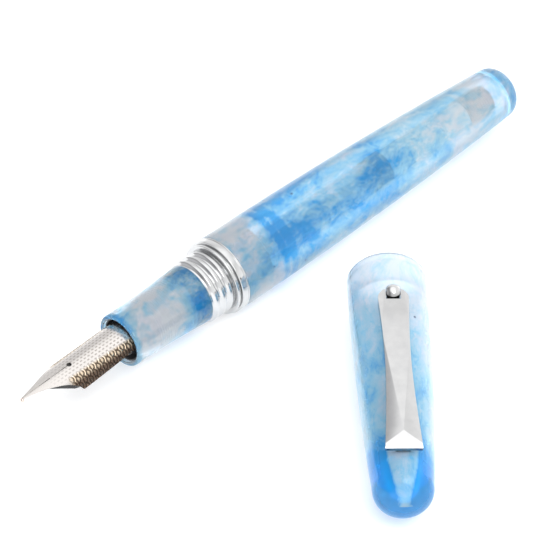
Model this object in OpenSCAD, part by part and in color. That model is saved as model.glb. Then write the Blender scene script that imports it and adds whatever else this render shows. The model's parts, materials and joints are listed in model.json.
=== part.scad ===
// Fountain pen lying open beside its screw cap. Millimetres, +Z up.
// The pen's axis is the X axis, with the nib towards -X; the origin is the middle of the cap thread.
// The cap lies level beside the pen on the same surface, at an angle to it.

/* [Pen outside] */
// Radius of the barrel at its front, and of the trim ring
pen_r = 7.8; // [7.5:0.05:8.2]
// From the trim ring's back face to the barrel's end
barrel_l = 79.6; // [78:0.1:84]
// How far the barrel's side curves in by its end
barrel_taper = 2.35; // [2:0.05:2.6]
// Height of the barrel's round end
barrel_dome_l = 3.6; // [3:0.1:4.5]
// Length of resin grip in front of the cap thread
grip_l = 18.6; // [17:0.1:20]
// Radius of the grip at its front lip
lip_r = 5.5; // [5.4:0.05:5.7]
// Radius of the grip where it meets the cap thread
grip_rear_r = 6.2; // [6.1:0.05:6.3]

/* [Rings and threads] */
// Radius over the cap thread's crests
cap_thread_r = 6.65; // [6.5:0.05:6.7]
// Distance between crests of the cap thread
cap_thread_pitch = 1.8; // [1.6:0.1:1.9]
// Width of the cap thread's metal ring
thread_ring_l = 5.6; // [5.5:0.1:6]
// Width of the trim ring
trim_ring_l = 2.7; // [2.4:0.1:3]
// Length of the threaded tenon that the barrel screws on to
tenon_l = 6.4; // [6:0.1:7]
// Distance between crests of the barrel thread
barrel_thread_pitch = 0.9; // [0.8:0.1:1]

/* [Nib] */
// Length of nib that stands out of the grip
nib_out = 24.5; // [23:0.5:25]
// Half the width over the nib's shoulders
nib_half_w = 4.3; // [4:0.1:4.4]
// From the nib's point to its breather hole
nib_hole_x = 11.7; // [11:0.1:12.5]
// Thickness of the nib's sheet metal
nib_t = 0.35; // [0.3:0.05:0.4]

/* [Converter] */
// Radius of the ink tank's outside
tank_r = 3.3; // [3.2:0.05:3.35]
// Radius of the turning knob
knob_r = 3.7; // [3.6:0.05:3.9]
// Length of the turning knob
knob_l = 7.1; // [6.5:0.1:7.5]
// Travel of the piston
piston_travel = 26; // [24:1:28]

/* [Cap] */
// Radius of the cap at its mouth
cap_r = 7.78; // [7.6:0.01:7.9]
// Length of the cap
cap_l = 60.2; // [59.5:0.1:62]
// Height of the cap's round end
cap_dome_l = 4.4; // [4:0.1:5]
// How far the cap's side curves in by its round end
cap_taper = 2.0; // [1.8:0.05:2.2]
// Place of the centre of the cap's mouth along the pen
cap_x = 26.3; // [22:0.1:32]
// Distance of the centre of the cap's mouth to the side of the pen's axis
cap_y = 23.8; // [22:0.1:30]
// Direction of the cap, from its mouth to its round end, about Z
cap_turn = -132.7; // [-140:0.1:-125]

/* [Clip] */
// From the cap's mouth to the clip's free end
clip_start = 12.7; // [12:0.1:14]
// From the cap's mouth to the clip's fixed end
clip_end = 52.8; // [52:0.1:53.5]
// Width of the clip at its round free end
clip_head_w = 5.8; // [5.6:0.1:6]
// Width of the clip at its waist
clip_waist_w = 4.8; // [4.4:0.1:5]
// Width of the clip at its fixed end
clip_foot_w = 6.9; // [6.6:0.1:7.2]
// Angle of the clip away from the top of the cap, about the cap's axis
clip_roll = -1.5; // [-5:0.5:0]
// Radius of the roller at the clip's free end
roller_r = 1.75; // [1.6:0.05:1.8]

/* [Hidden] */

$fn = 96;
eps = 0.01;
big = 100;
turn_gap = 0.1;                  // radial clearance between threads and in plain running fits
face_gap = 0.05;                 // gap between faces that only meet
fit_gap = 0.02;                  // gap round a piece that is bonded in place

// Stations along the pen
thread_x0 = -thread_ring_l / 2 - 0.1;
trim_x0 = thread_x0 + thread_ring_l;
trim_x1 = trim_x0 + trim_ring_l;
tenon_x1 = trim_x1 + tenon_l;
barrel_x0 = trim_x1 + face_gap;
barrel_x1 = trim_x1 + barrel_l;
lip_x = thread_x0 - grip_l;
nib_x0 = lip_x - nib_out;

// Radii inside the front of the pen
spigot_r = 5.05;                 // resin spigot that carries the metal rings
nib_bore_r = 4.7;
tank_bore_r = tank_r + fit_gap;
nib_bore_x1 = lip_x + 15.5;
insert_r = 7;
tenon_r = 6.1;
tenon_root_r = 5.8;
insert_x1 = tenon_x1 + 0.5;

// Barrel bore
bore_step_x0 = insert_x1 + 2.8;
bore_step_x1 = bore_step_x0 + 3;
bore_front_r = 5.9;
bore_mid_r = 5.1;
bore_end_r = 4.5;
bore_x1 = barrel_x1 - 3.8;

// Converter
tank_x0 = -3;
tank_wall = 0.55;
tank_in_r = tank_r - tank_wall;
tank_mouth_l = 3;
tank_mouth_r = 1.3;
collar_x0 = 45.4;
collar_x1 = 48.6;
collar_r = 3.75;
tank_x1 = collar_x0 + 1.4;
sleeve_r = 3.6;
sleeve_wall = 0.35;
sleeve_x1 = 71;
knob_x0 = sleeve_x1 + 0.4;
knob_x1 = knob_x0 + knob_l;
rod_r = 1.15;
seal_r = tank_in_r - face_gap;
seal_l = 3.4;
seal_x0 = collar_x0 - seal_l - piston_travel - 3;
rod_x1 = collar_x1 + 1;

// Nib and feed: the nib is part of a tube, and follows a slightly sloping axis
nib_tube_r = 4.45;
nib_top_z = 2.6;
nib_slope = 3.2;
nib_x1 = lip_x + 9;
housing_r = 4.62;
housing_in_r = 4.3;
housing_x1 = lip_x + 14.5;
feed_r = 3.3;
nipple_r = tank_mouth_r - turn_gap;

// Cap bore
cap_land_r = 6.3;
cap_groove_r = 6.7;
cap_thread_n = 7;
cap_bore_l = 24.3;
bore_cone_l = 6;                 // where the bore narrows to the inner cap
liner_bore_r = 5.2;
liner_straight_l = 43.5;
liner_nose_x = 51.5;
liner_nose_r = 3.8;
point_bore_r = 2.2;
point_bore_x = 56.2;

// Clip section
clip_gap = 0.8;                  // from the cap's side to the clip's underside
gable = 17;                      // slope of the clip's side facets, in degrees
flat_share = 0.38;               // share of the clip whose top is flat from edge to edge
foot_l = 3.1;                    // length of the triangular facet at the fixed end
foot_h = 3.1;                    // height of the clip's top above the cap's side at the facet
foot_edge = 1.05;                // from the cap's side to the lower edge of the fixed end
foot_x = clip_end - foot_l;
foot_top_z = cap_side(foot_x) + foot_h;
pivot_x = clip_end - 2.3;
pivot_z = cap_side(pivot_x) + 0.7;
pivot_r = 0.5;
anchor_w = 2.6;
roller_x = clip_start + 0.8;
roller_w = 2.5;
roller_z = cap_side(roller_x) + roller_r + face_gap;
roller_pin_r = 0.35;
roller_pin_l = 4.4;
slot_w = roller_w + 0.3;
slot_l = 2.9;
head_z = roller_z + 0.66;        // top of the clip over the roller's pin

// Radius of the barrel's side, and of the cap's side, at a distance along it
function barrel_side(d) = pen_r - barrel_taper * pow(max(0, d - 2.5) / (barrel_l - 5.5), 2);
function cap_side(d) = cap_r - cap_taper * pow(d / (cap_l - cap_dome_l), 2);

// Outline of a round end that starts at [x, r] and is h long; p sets how full it is
function dome(x, r, h, p) = [for (t = [10:10:90]) [x + h * sin(t), r * pow(cos(t), p)]];

// Grip radius at a share of its length from the lip
function grip_side(s) = lip_r + 0.05 + (grip_rear_r - lip_r - 0.05) * pow(max(0, (s - 0.4) / 0.6), 1.2);

// Turns a half outline of [x, r] points about the X axis
module lathe(points) {
    rotate([0, 90, 0])
        rotate([0, 0, 90])
            rotate_extrude()
                polygon([for (p = points) [max(0, p[1]), p[0]]]);
}

// Round tube from x0 to x1
module tube(x0, x1, r_out, r_in) {
    lathe([[x0, r_in], [x1, r_in], [x1, r_out], [x0, r_out]]);
}

// Solid round bar from x0 to x1
module bar(x0, x1, r) {
    translate([x0, 0, 0])
        rotate([0, 90, 0])
            cylinder(h = x1 - x0, r = r);
}

// Thread crests: n rings with flat tops, from root radius to crest radius
module crests(x_first, pitch, n, r_root, r_crest, top_w, foot_w) {
    for (i = [0:n - 1])
        let (x = x_first + i * pitch)
            lathe([
                [x - foot_w / 2, r_root], [x - top_w / 2, r_crest],
                [x + top_w / 2, r_crest], [x + foot_w / 2, r_root]
            ]);
}

// Places a piece drawn on the cap's own axis, mouth at the origin and round end towards +X
module on_cap() {
    translate([cap_x, -cap_y, 0])
        rotate([0, 0, cap_turn])
            children();
}

// Places a piece of the clip, drawn along the top of the cap
module on_clip() {
    on_cap()
        rotate([clip_roll, 0, 0])
            children();
}

// ---- Front of the pen ----

module grip_section() {
    color([0.62, 0.78, 0.92, 0.6])
        difference() {
            union() {
                lathe(concat(
                    [[lip_x, 0], [lip_x, lip_r - 0.35], [lip_x + 0.1, lip_r - 0.12], [lip_x + 0.35, lip_r]],
                    [for (i = [1:12]) [lip_x + grip_l * i / 12, grip_side(i / 12)]],
                    [[thread_x0, 0]]
                ));
                bar(thread_x0 - eps, tenon_x1, spigot_r);
            }
            bar(lip_x - 1, nib_bore_x1, nib_bore_r);
            bar(lip_x, tenon_x1 + 1, tank_bore_r);
        }
}

module thread_ring() {
    color([0.8, 0.81, 0.82]) {
        difference() {
            union() {
                tube(thread_x0, trim_x0, cap_thread_r - 0.55, spigot_r);
                crests(-cap_thread_pitch, cap_thread_pitch, 3, cap_thread_r - 0.56, cap_thread_r, 0.6, 1.5);
            }
            bar(thread_x0 - 1, trim_x0 + 1, spigot_r);
        }
    }
}

module trim_ring() {
    step_r = pen_r - 0.35;
    seat_in_r = cap_thread_r + face_gap;
    recess_l = 0.3;
    color([0.82, 0.83, 0.84])
        lathe([
            [trim_x0, seat_in_r], [trim_x0 + recess_l, seat_in_r], [trim_x0 + recess_l, spigot_r],
            [trim_x1, spigot_r], [trim_x1, pen_r - 0.12], [trim_x1 - 0.12, pen_r],
            [trim_x0 + 1.15, pen_r], [trim_x0 + 0.95, pen_r - 0.08], [trim_x0 + 0.85, step_r - 0.1],
            [trim_x0 + 0.7, step_r - 0.1], [trim_x0 + 0.6, step_r], [trim_x0 + 0.15, step_r],
            [trim_x0, step_r - 0.15]
        ]);
}

module barrel_tenon() {
    n = floor((tenon_l - 2.2) / barrel_thread_pitch);
    color([0.7, 0.71, 0.72])
        difference() {
            union() {
                tube(trim_x1, tenon_x1, tenon_root_r, spigot_r);
                crests(trim_x1 + 2.2, barrel_thread_pitch, n, tenon_root_r - eps, tenon_r, 0.2, 0.75);
            }
            bar(trim_x1 - 1, tenon_x1 + 1, spigot_r);
        }
}

module tenon_o_ring() {
    ring_r = 0.38;
    color([0.12, 0.12, 0.13])
        rotate([0, 90, 0])
            translate([0, 0, trim_x1 + 0.95])
                rotate_extrude()
                    translate([tenon_root_r + ring_r, 0])
                        circle(r = ring_r, $fn = 32);
}

// ---- Nib unit, which unscrews from the grip ----

module nib_housing() {
    thread_x = housing_x1 - 5.4;
    color([0.09, 0.09, 0.1])
        difference() {
            union() {
                bar(lip_x + 0.7, lip_x + 2.2, housing_r);
                bar(lip_x + 0.7, housing_x1, housing_r - 0.1);
                crests(thread_x, 0.8, 6, housing_r - 0.11, housing_r, 0.2, 0.7);
            }
            bar(lip_x, lip_x + 9.5, housing_in_r);
            bar(lip_x, housing_x1 + 1, feed_r);
        }
}

// Plan outline of the nib, point at the origin and pointing to -X; inset makes it narrower on each side
module nib_outline(inset) {
    point_w = 0.25;
    shoulder_x = nib_hole_x - 0.2;
    back = nib_x1 - nib_x0;
    side = [for (s = [0.04:0.08:1])
        [s * shoulder_x, point_w + (nib_half_w - point_w) * (0.55 * s + 0.45 * pow(s, 2.2))]];
    rear = [
        [shoulder_x + 0.5, nib_half_w], [shoulder_x + 4, nib_half_w - 0.12],
        [nib_out - 1, nib_half_w - 0.35], [back, nib_half_w - 0.4]
    ];
    half = [for (p = concat([[0, point_w - 0.05]], side, rear)) [p[0], max(0.05, p[1] - inset)]];
    polygon(concat(half, [for (i = [len(half) - 1:-1:0]) [half[i][0], -half[i][1]]]));
}

// Places a round piece on the nib's own sloping axis
module nib_axis() {
    translate([nib_x0 + nib_hole_x, 0, nib_top_z - nib_tube_r])
        rotate([0, -nib_slope, 0])
            children();
}

module nib() {
    slit_w = 0.12;
    hole_r = 0.5;
    color([0.78, 0.74, 0.7])
        difference() {
            intersection() {
                translate([nib_x0, 0, -big / 2])
                    linear_extrude(height = big)
                        nib_outline(0);
                nib_axis()
                    difference() {
                        bar(-big / 2, big / 2, nib_tube_r);
                        bar(-big / 2 - 1, big / 2 + 1, nib_tube_r - nib_t);
                        translate([-big, -big / 2, -big])
                            cube([2 * big, big, big]);
                    }
            }
            translate([nib_x0 + nib_hole_x, 0, 0])
                cylinder(h = big, r = hole_r);
            translate([nib_x0 - 1, -slit_w / 2, 0])
                cube([nib_hole_x + 1, slit_w, big]);
            // the rear of the nib lies within the housing's bore
            difference() {
                bar(lip_x - 0.5, big, 3 * nib_tube_r);
                bar(lip_x - 1, big + 1, housing_in_r - face_gap);
            }
        }
}

module nib_tip() {
    color([0.85, 0.85, 0.86])
        translate([nib_x0 - 0.1, 0, nib_top_z - nib_hole_x * tan(nib_slope) - 0.55])
            sphere(r = 0.42, $fn = 32);
}

module feed() {
    blade_x = nib_x0 + 4.5;          // front edge of the blade under the tines
    blade_end = nib_x0 + nib_hole_x - 0.4;
    blade_z = 1.7;
    blade_slope = 20.4;              // how steeply the blade's underside drops to the rear
    blade_drop = (blade_end - blade_x) * tan(blade_slope);
    neck_r = 2.8;
    neck_z = 1.5;
    body_x = lip_x + 0.4;
    body_r = feed_r - turn_gap;
    rear_x = housing_x1 + 0.4;
    fin_n = 7;
    fin_pitch = 0.9;
    color([0.1, 0.1, 0.11]) {
        intersection() {
            nib_axis()
                bar(-big / 2, big / 2, nib_tube_r - nib_t - face_gap);
            union() {
                intersection() {
                    translate([nib_x0, 0, -big / 2])
                        linear_extrude(height = big)
                            nib_outline(0.4);
                    translate([0, body_r, 0])
                        rotate([90, 0, 0])
                            linear_extrude(height = 2 * body_r)
                                polygon([
                                    [blade_x, blade_z], [blade_end, blade_z - blade_drop],
                                    [blade_end, big], [blade_x, big]
                                ]);
                }
                translate([0, 0, neck_z])
                    bar(blade_end - 2, body_x + 1, neck_r);
                bar(body_x, rear_x, body_r);
                crests(lip_x + 1.6, fin_pitch, fin_n, body_r - eps, body_r + 0.2, 0.3, 0.5);
            }
        }
        bar(rear_x - 1, tank_x0 + 2.6, nipple_r);
    }
}

// ---- Converter ----

module converter_tank() {
    color([0.85, 0.88, 0.9, 0.5])
        difference() {
            bar(tank_x0, tank_x1, tank_r);
            bar(tank_x0 - 1, tank_x1, tank_mouth_r);
            bar(tank_x0 + tank_mouth_l, tank_x1 + 1, tank_in_r);
        }
}

module converter_collar() {
    color([0.16, 0.16, 0.17])
        difference() {
            union() {
                bar(collar_x0, collar_x1, collar_r);
                bar(collar_x1 - eps, collar_x1 + 1.2, sleeve_r - sleeve_wall - fit_gap);
            }
            bar(collar_x0 - 1, tank_x1, tank_r + fit_gap);
            bar(collar_x0, collar_x1 + 2, rod_r + turn_gap);
            bar(collar_x1 - 0.2, collar_x1 + 2, 2.4);
        }
}

module converter_sleeve() {
    color([0.72, 0.71, 0.69])
        tube(collar_x1, sleeve_x1, sleeve_r, sleeve_r - sleeve_wall);
}

module converter_knob() {
    ribs = 9;
    rib_pitch = (knob_l - 1.4) / ribs;
    color([0.55, 0.55, 0.56])
        difference() {
            union() {
                bar(knob_x0, knob_x1 - 0.3, knob_r - 0.2);
                lathe([
                    [knob_x1 - 0.31, 0], [knob_x1 - 0.31, knob_r - 0.2],
                    [knob_x1, knob_r - 0.5], [knob_x1, 0]
                ]);
                crests(knob_x0 + 0.7, rib_pitch, ribs, knob_r - 0.21, knob_r, 0.2, 0.5);
                bar(knob_x0 - 2.2, knob_x0 + eps, 2.9);
            }
            bar(knob_x0 - 3, knob_x0 + 1, 2.1 + fit_gap);
            bar(knob_x0, knob_x1 - 1, rod_r + turn_gap);
        }
}

module drive_spindle() {
    color([0.75, 0.7, 0.55])
        tube(collar_x1 + 0.2, knob_x0 + 0.95, 2.1, rod_r + turn_gap);
}

module piston_rod() {
    color([0.2, 0.2, 0.21])
        bar(seal_x0 + 1, rod_x1, rod_r);
}

module piston_seal() {
    color([0.14, 0.14, 0.15])
        difference() {
            lathe([
                [seal_x0, 0], [seal_x0, seal_r - 0.5], [seal_x0 + 0.4, seal_r], [seal_x0 + 0.9, seal_r],
                [seal_x0 + 1.3, seal_r - 0.35], [seal_x0 + seal_l - 1.2, seal_r - 0.35],
                [seal_x0 + seal_l - 0.8, seal_r], [seal_x0 + seal_l, seal_r], [seal_x0 + seal_l, 0]
            ]);
            bar(seal_x0 + 1, seal_x0 + seal_l + 1, rod_r);
        }
}

// ---- Barrel ----

module barrel_insert() {
    n = floor((insert_x1 - trim_x1 - 2.6) / barrel_thread_pitch);
    x_first = trim_x1 + 2.2 + barrel_thread_pitch / 2;
    color([0.7, 0.71, 0.72])
        difference() {
            bar(trim_x1 + 0.3, insert_x1, insert_r - fit_gap);
            bar(trim_x1 - 1, trim_x1 + 1.7, insert_r - 0.3);
            bar(trim_x1, insert_x1 + 1, tenon_r + turn_gap);
            crests(x_first, barrel_thread_pitch, n, tenon_r + turn_gap - eps, tenon_r + 0.4, 0.2, 0.7);
        }
}

module barrel() {
    side_n = 16;
    side_l = barrel_l - barrel_dome_l;
    edge = 0.1;
    step = (side_l - edge - face_gap) / side_n;
    color([0.5, 0.72, 0.93, 0.6])
        difference() {
            lathe(concat(
                [[barrel_x0, 0], [barrel_x0, pen_r - edge]],
                [for (i = [0:side_n]) [barrel_x0 + edge + step * i, barrel_side(side_l * i / side_n)]],
                dome(barrel_x1 - barrel_dome_l, barrel_side(side_l), barrel_dome_l, 0.75)
            ));
            bar(barrel_x0 - 1, insert_x1 + fit_gap, insert_r);
            lathe([
                [barrel_x0, 0], [barrel_x0, bore_front_r], [bore_step_x0, bore_front_r],
                [bore_step_x1, bore_mid_r], [bore_x1 - 2, bore_end_r],
                [bore_x1, bore_end_r - 1.2], [bore_x1, 0]
            ]);
        }
}

// ---- Cap ----

module cap_tube() {
    side_n = 14;
    side_l = cap_l - cap_dome_l;
    groove_x = 1.6;
    groove_pitch = 0.85;
    edge = 0.3;
    color([0.6, 0.78, 0.94, 0.6])
        difference() {
            on_cap()
                lathe(concat(
                    [[0, 0], [0, cap_r - 0.25], [0.25, cap_r]],
                    [for (i = [1:side_n]) [side_l * i / side_n, cap_side(side_l * i / side_n)]],
                    dome(side_l, cap_side(side_l), cap_dome_l, 0.8)
                ));
            on_cap()
                lathe([
                    [-eps, cap_land_r - edge], [-eps, cap_land_r + edge],
                    [edge, cap_land_r], [edge, cap_land_r - edge]
                ]);
            on_cap()
                crests(groove_x, groove_pitch, cap_thread_n, cap_land_r - 0.05, cap_groove_r, 0.25, 0.7);
            on_cap()
                lathe([
                    [-1, 0], [-1, cap_land_r], [cap_bore_l, cap_land_r],
                    [cap_bore_l + bore_cone_l, liner_bore_r], [liner_straight_l, liner_bore_r],
                    [liner_nose_x, liner_nose_r], [liner_nose_x, point_bore_r],
                    [point_bore_x - 1.5, point_bore_r],
                    [point_bore_x - 0.4, point_bore_r * 0.75], [point_bore_x, 0]
                ]);
            on_clip()
                anchor_block(fit_gap);
        }
}

module inner_cap() {
    gap = 0.06;
    wall = 0.45;
    color([0.85, 0.9, 0.95, 0.5])
        on_cap()
            lathe([
                [cap_bore_l + 0.2, liner_bore_r - wall - gap], [cap_bore_l + 0.2, liner_bore_r - gap],
                [liner_straight_l, liner_bore_r - gap], [liner_nose_x - gap, liner_nose_r - gap],
                [liner_nose_x - gap, point_bore_r - gap], [point_bore_x - 1.6, point_bore_r - gap],
                [point_bore_x - 0.6, point_bore_r * 0.75 - gap], [point_bore_x - 0.2, 0],
                [point_bore_x - 1.2, 0], [point_bore_x - 1.8, point_bore_r - wall],
                [liner_nose_x - wall, point_bore_r - wall], [liner_nose_x - wall, liner_nose_r - wall],
                [liner_straight_l, liner_bore_r - wall - gap]
            ]);
}

// Metal block set in the cap's side, which carries the clip; extra grows it all round
module anchor_block(extra) {
    foot_z = cap_side(pivot_x) - 0.62;
    translate([pivot_x - 1.4 - extra, -anchor_w / 2 - extra, foot_z - extra])
        cube([2.8 + 2 * extra, anchor_w + 2 * extra, 1.4]);
}

module clip_anchor() {
    color([0.75, 0.76, 0.77])
        on_clip()
            difference() {
                union() {
                    anchor_block(0);
                    translate([pivot_x, anchor_w / 2, pivot_z])
                        rotate([90, 0, 0])
                            cylinder(h = anchor_w, r = 0.85);
                }
                translate([pivot_x, anchor_w, pivot_z])
                    rotate([90, 0, 0])
                        cylinder(h = 2 * anchor_w, r = pivot_r);
            }
}

module clip_pivot_pin() {
    pin_l = clip_foot_w - 1.6;
    color([0.7, 0.7, 0.72])
        on_clip()
            translate([pivot_x, pin_l / 2, pivot_z])
                rotate([90, 0, 0])
                    cylinder(h = pin_l, r = pivot_r);
}

// Plan outline of the clip
module clip_plan() {
    head_r = 2.6;
    hull_w = clip_head_w / 2 - head_r;
    neck_x = clip_start + 3;
    waist_at = 0.42;                 // where the strip is narrowest, as a share of its length
    n = 12;
    function waist_x(i) = neck_x + (clip_end - neck_x) * i / n;
    function clip_half_w(i) = let (d = i / n - waist_at) (clip_waist_w
        + (d < 0 ? (clip_head_w - clip_waist_w) * pow(d / waist_at, 2)
                 : (clip_foot_w - clip_waist_w) * pow(d / (1 - waist_at), 1.6))) / 2;
    polygon([
        [clip_start + head_r, clip_head_w / 2], [clip_start + head_r, -clip_head_w / 2],
        each [for (i = [0:n]) [waist_x(i), -clip_half_w(i)]],
        each [for (i = [n:-1:0]) [waist_x(i), clip_half_w(i)]]
    ]);
    for (side = [-1, 1])
        translate([clip_start + head_r, side * hull_w])
            circle(r = head_r);
    translate([clip_start, -hull_w])
        square([head_r + eps, 2 * hull_w]);
}

// Side outline of the clip: a straight strip with a flat top, and a hollow foot under a sloping facet
module clip_profile() {
    start_z = cap_side(clip_start);
    foot_z = cap_side(clip_end);
    edge_t = 0.65;
    polygon([
        [clip_start, start_z + clip_gap], [foot_x, foot_z + clip_gap + 0.5],
        [foot_x + 0.4, foot_z + foot_edge + 1], [clip_end, foot_z + foot_edge],
        [clip_end, foot_z + foot_edge + edge_t], [foot_x, foot_top_z], [clip_start, head_z]
    ]);
}

// Solid under two planes that cut the flat top away at the sides, and meet at the foot's apex
module clip_roof() {
    half = clip_foot_w;
    drop = half * tan(gable);
    ridge_z = head_z + clip_waist_w / 2 * tan(gable) / (1 - flat_share);
    translate([clip_start, 0, ridge_z])
        rotate([0, atan((ridge_z - foot_top_z) / (foot_x - clip_start)), 0])
            rotate([90, 0, 90])
                translate([0, 0, -clip_end])
                    linear_extrude(height = 3 * clip_end)
                        polygon([[-half, -big], [half, -big], [half, -drop], [0, 0], [-half, -drop]]);
}

module clip() {
    ear_w = 1;
    ear_y = clip_foot_w / 2 - ear_w / 2 - 0.35;
    color([0.8, 0.81, 0.82])
        on_clip()
            difference() {
                intersection() {
                    linear_extrude(height = big)
                        clip_plan();
                    union() {
                        translate([0, big / 2, 0])
                            rotate([90, 0, 0])
                                linear_extrude(height = big)
                                    clip_profile();
                        for (side = [-1, 1])
                            translate([pivot_x, side * ear_y + ear_w / 2, pivot_z])
                                rotate([90, 0, 0])
                                    linear_extrude(height = ear_w)
                                        union() {
                                            circle(r = 0.9);
                                            translate([-0.9, 0])
                                                square([1.8, 1.2]);
                                        }
                    }
                    clip_roof();
                }
                translate([clip_start - 1, -slot_w / 2, 0])
                    cube([slot_l + 1, slot_w, big]);
                translate([roller_x, roller_pin_l / 2, roller_z])
                    rotate([90, 0, 0])
                        cylinder(h = roller_pin_l, r = roller_pin_r);
                translate([pivot_x, clip_foot_w, pivot_z])
                    rotate([90, 0, 0])
                        cylinder(h = 2 * clip_foot_w, r = pivot_r + 0.04);
            }
}

module roller_pin() {
    color([0.7, 0.7, 0.72])
        on_clip()
            translate([roller_x, roller_pin_l / 2, roller_z])
                rotate([90, 0, 0])
                    cylinder(h = roller_pin_l, r = roller_pin_r);
}

module clip_roller() {
    crown = 0.55;
    color([0.86, 0.87, 0.88])
        on_clip()
            translate([roller_x, 0, roller_z])
                rotate([90, 0, 0])
                    rotate_extrude()
                        polygon(concat(
                            [[roller_pin_r + 0.05, -roller_w / 2]],
                            [for (i = [-5:5]) let (s = i / 5)
                                [roller_r - crown * s * s, s * roller_w / 2]],
                            [[roller_pin_r + 0.05, roller_w / 2]]
                        ));
}

grip_section();
thread_ring();
trim_ring();
barrel_tenon();
tenon_o_ring();
converter_tank();
converter_collar();
converter_sleeve();
nib_housing();
nib();
nib_tip();
feed();
barrel_insert();
barrel();
converter_knob();
drive_spindle();
piston_rod();
piston_seal();
cap_tube();
inner_cap();
clip_anchor();
clip_pivot_pin();
clip();
roller_pin();
clip_roller();
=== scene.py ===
"""Fountain pen lying open beside its screw cap.

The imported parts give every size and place. This script gives them their finish: turned resin shells with
marbling, polished rings and clip, an engraved nib, and the plain studio that they lie in.
Lengths in the classes are millimetres; the row frame is in metres.
"""

import json
import logging
import math
from collections.abc import Sequence
from dataclasses import dataclass, field
from enum import Enum

import bmesh
import bpy
from mathutils import Matrix, Vector

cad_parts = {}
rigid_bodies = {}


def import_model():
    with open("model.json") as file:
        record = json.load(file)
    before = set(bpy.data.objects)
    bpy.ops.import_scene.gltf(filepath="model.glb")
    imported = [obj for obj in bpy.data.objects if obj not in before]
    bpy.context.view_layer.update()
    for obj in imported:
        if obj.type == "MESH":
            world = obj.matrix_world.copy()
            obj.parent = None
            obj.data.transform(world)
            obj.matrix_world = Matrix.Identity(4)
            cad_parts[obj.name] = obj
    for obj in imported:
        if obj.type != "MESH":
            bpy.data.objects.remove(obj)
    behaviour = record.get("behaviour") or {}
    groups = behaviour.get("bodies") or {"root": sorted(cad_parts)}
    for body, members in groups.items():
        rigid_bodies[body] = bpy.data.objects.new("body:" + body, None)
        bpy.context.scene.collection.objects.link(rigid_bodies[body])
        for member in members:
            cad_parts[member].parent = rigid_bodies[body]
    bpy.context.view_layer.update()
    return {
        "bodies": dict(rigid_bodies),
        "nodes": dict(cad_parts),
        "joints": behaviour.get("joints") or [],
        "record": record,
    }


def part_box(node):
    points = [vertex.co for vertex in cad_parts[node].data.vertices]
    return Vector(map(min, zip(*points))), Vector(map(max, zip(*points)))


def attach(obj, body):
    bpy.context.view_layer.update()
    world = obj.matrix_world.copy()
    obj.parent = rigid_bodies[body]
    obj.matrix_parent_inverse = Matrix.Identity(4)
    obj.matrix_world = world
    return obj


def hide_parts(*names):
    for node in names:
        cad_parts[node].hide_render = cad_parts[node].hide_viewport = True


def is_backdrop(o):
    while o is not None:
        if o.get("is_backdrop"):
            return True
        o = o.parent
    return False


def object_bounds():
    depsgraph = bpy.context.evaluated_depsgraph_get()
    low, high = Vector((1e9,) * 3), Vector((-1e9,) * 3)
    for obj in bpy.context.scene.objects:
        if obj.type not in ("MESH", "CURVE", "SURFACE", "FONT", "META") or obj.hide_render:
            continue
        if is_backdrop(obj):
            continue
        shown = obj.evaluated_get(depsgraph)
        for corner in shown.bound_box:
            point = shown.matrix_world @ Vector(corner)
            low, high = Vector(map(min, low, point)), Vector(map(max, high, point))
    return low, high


MM = 0.001
FULL_TURN = 2 * math.pi
log = logging.getLogger("fountain_pen")

Colour = tuple[float, float, float]
Profile = list[tuple[float, float]]
Stops = tuple[tuple[float, Colour], ...]
Socket = bpy.types.NodeSocket


class Slot(Enum):
    """The record's material slots, passed along with the finished pieces."""

    RESIN = "marbled_resin"
    POLISHED = "polished_steel"
    TURNED = "turned_steel"
    NIB = "nib_steel"
    BLACK = "black_plastic"


# ---- Node sheets ----


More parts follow.
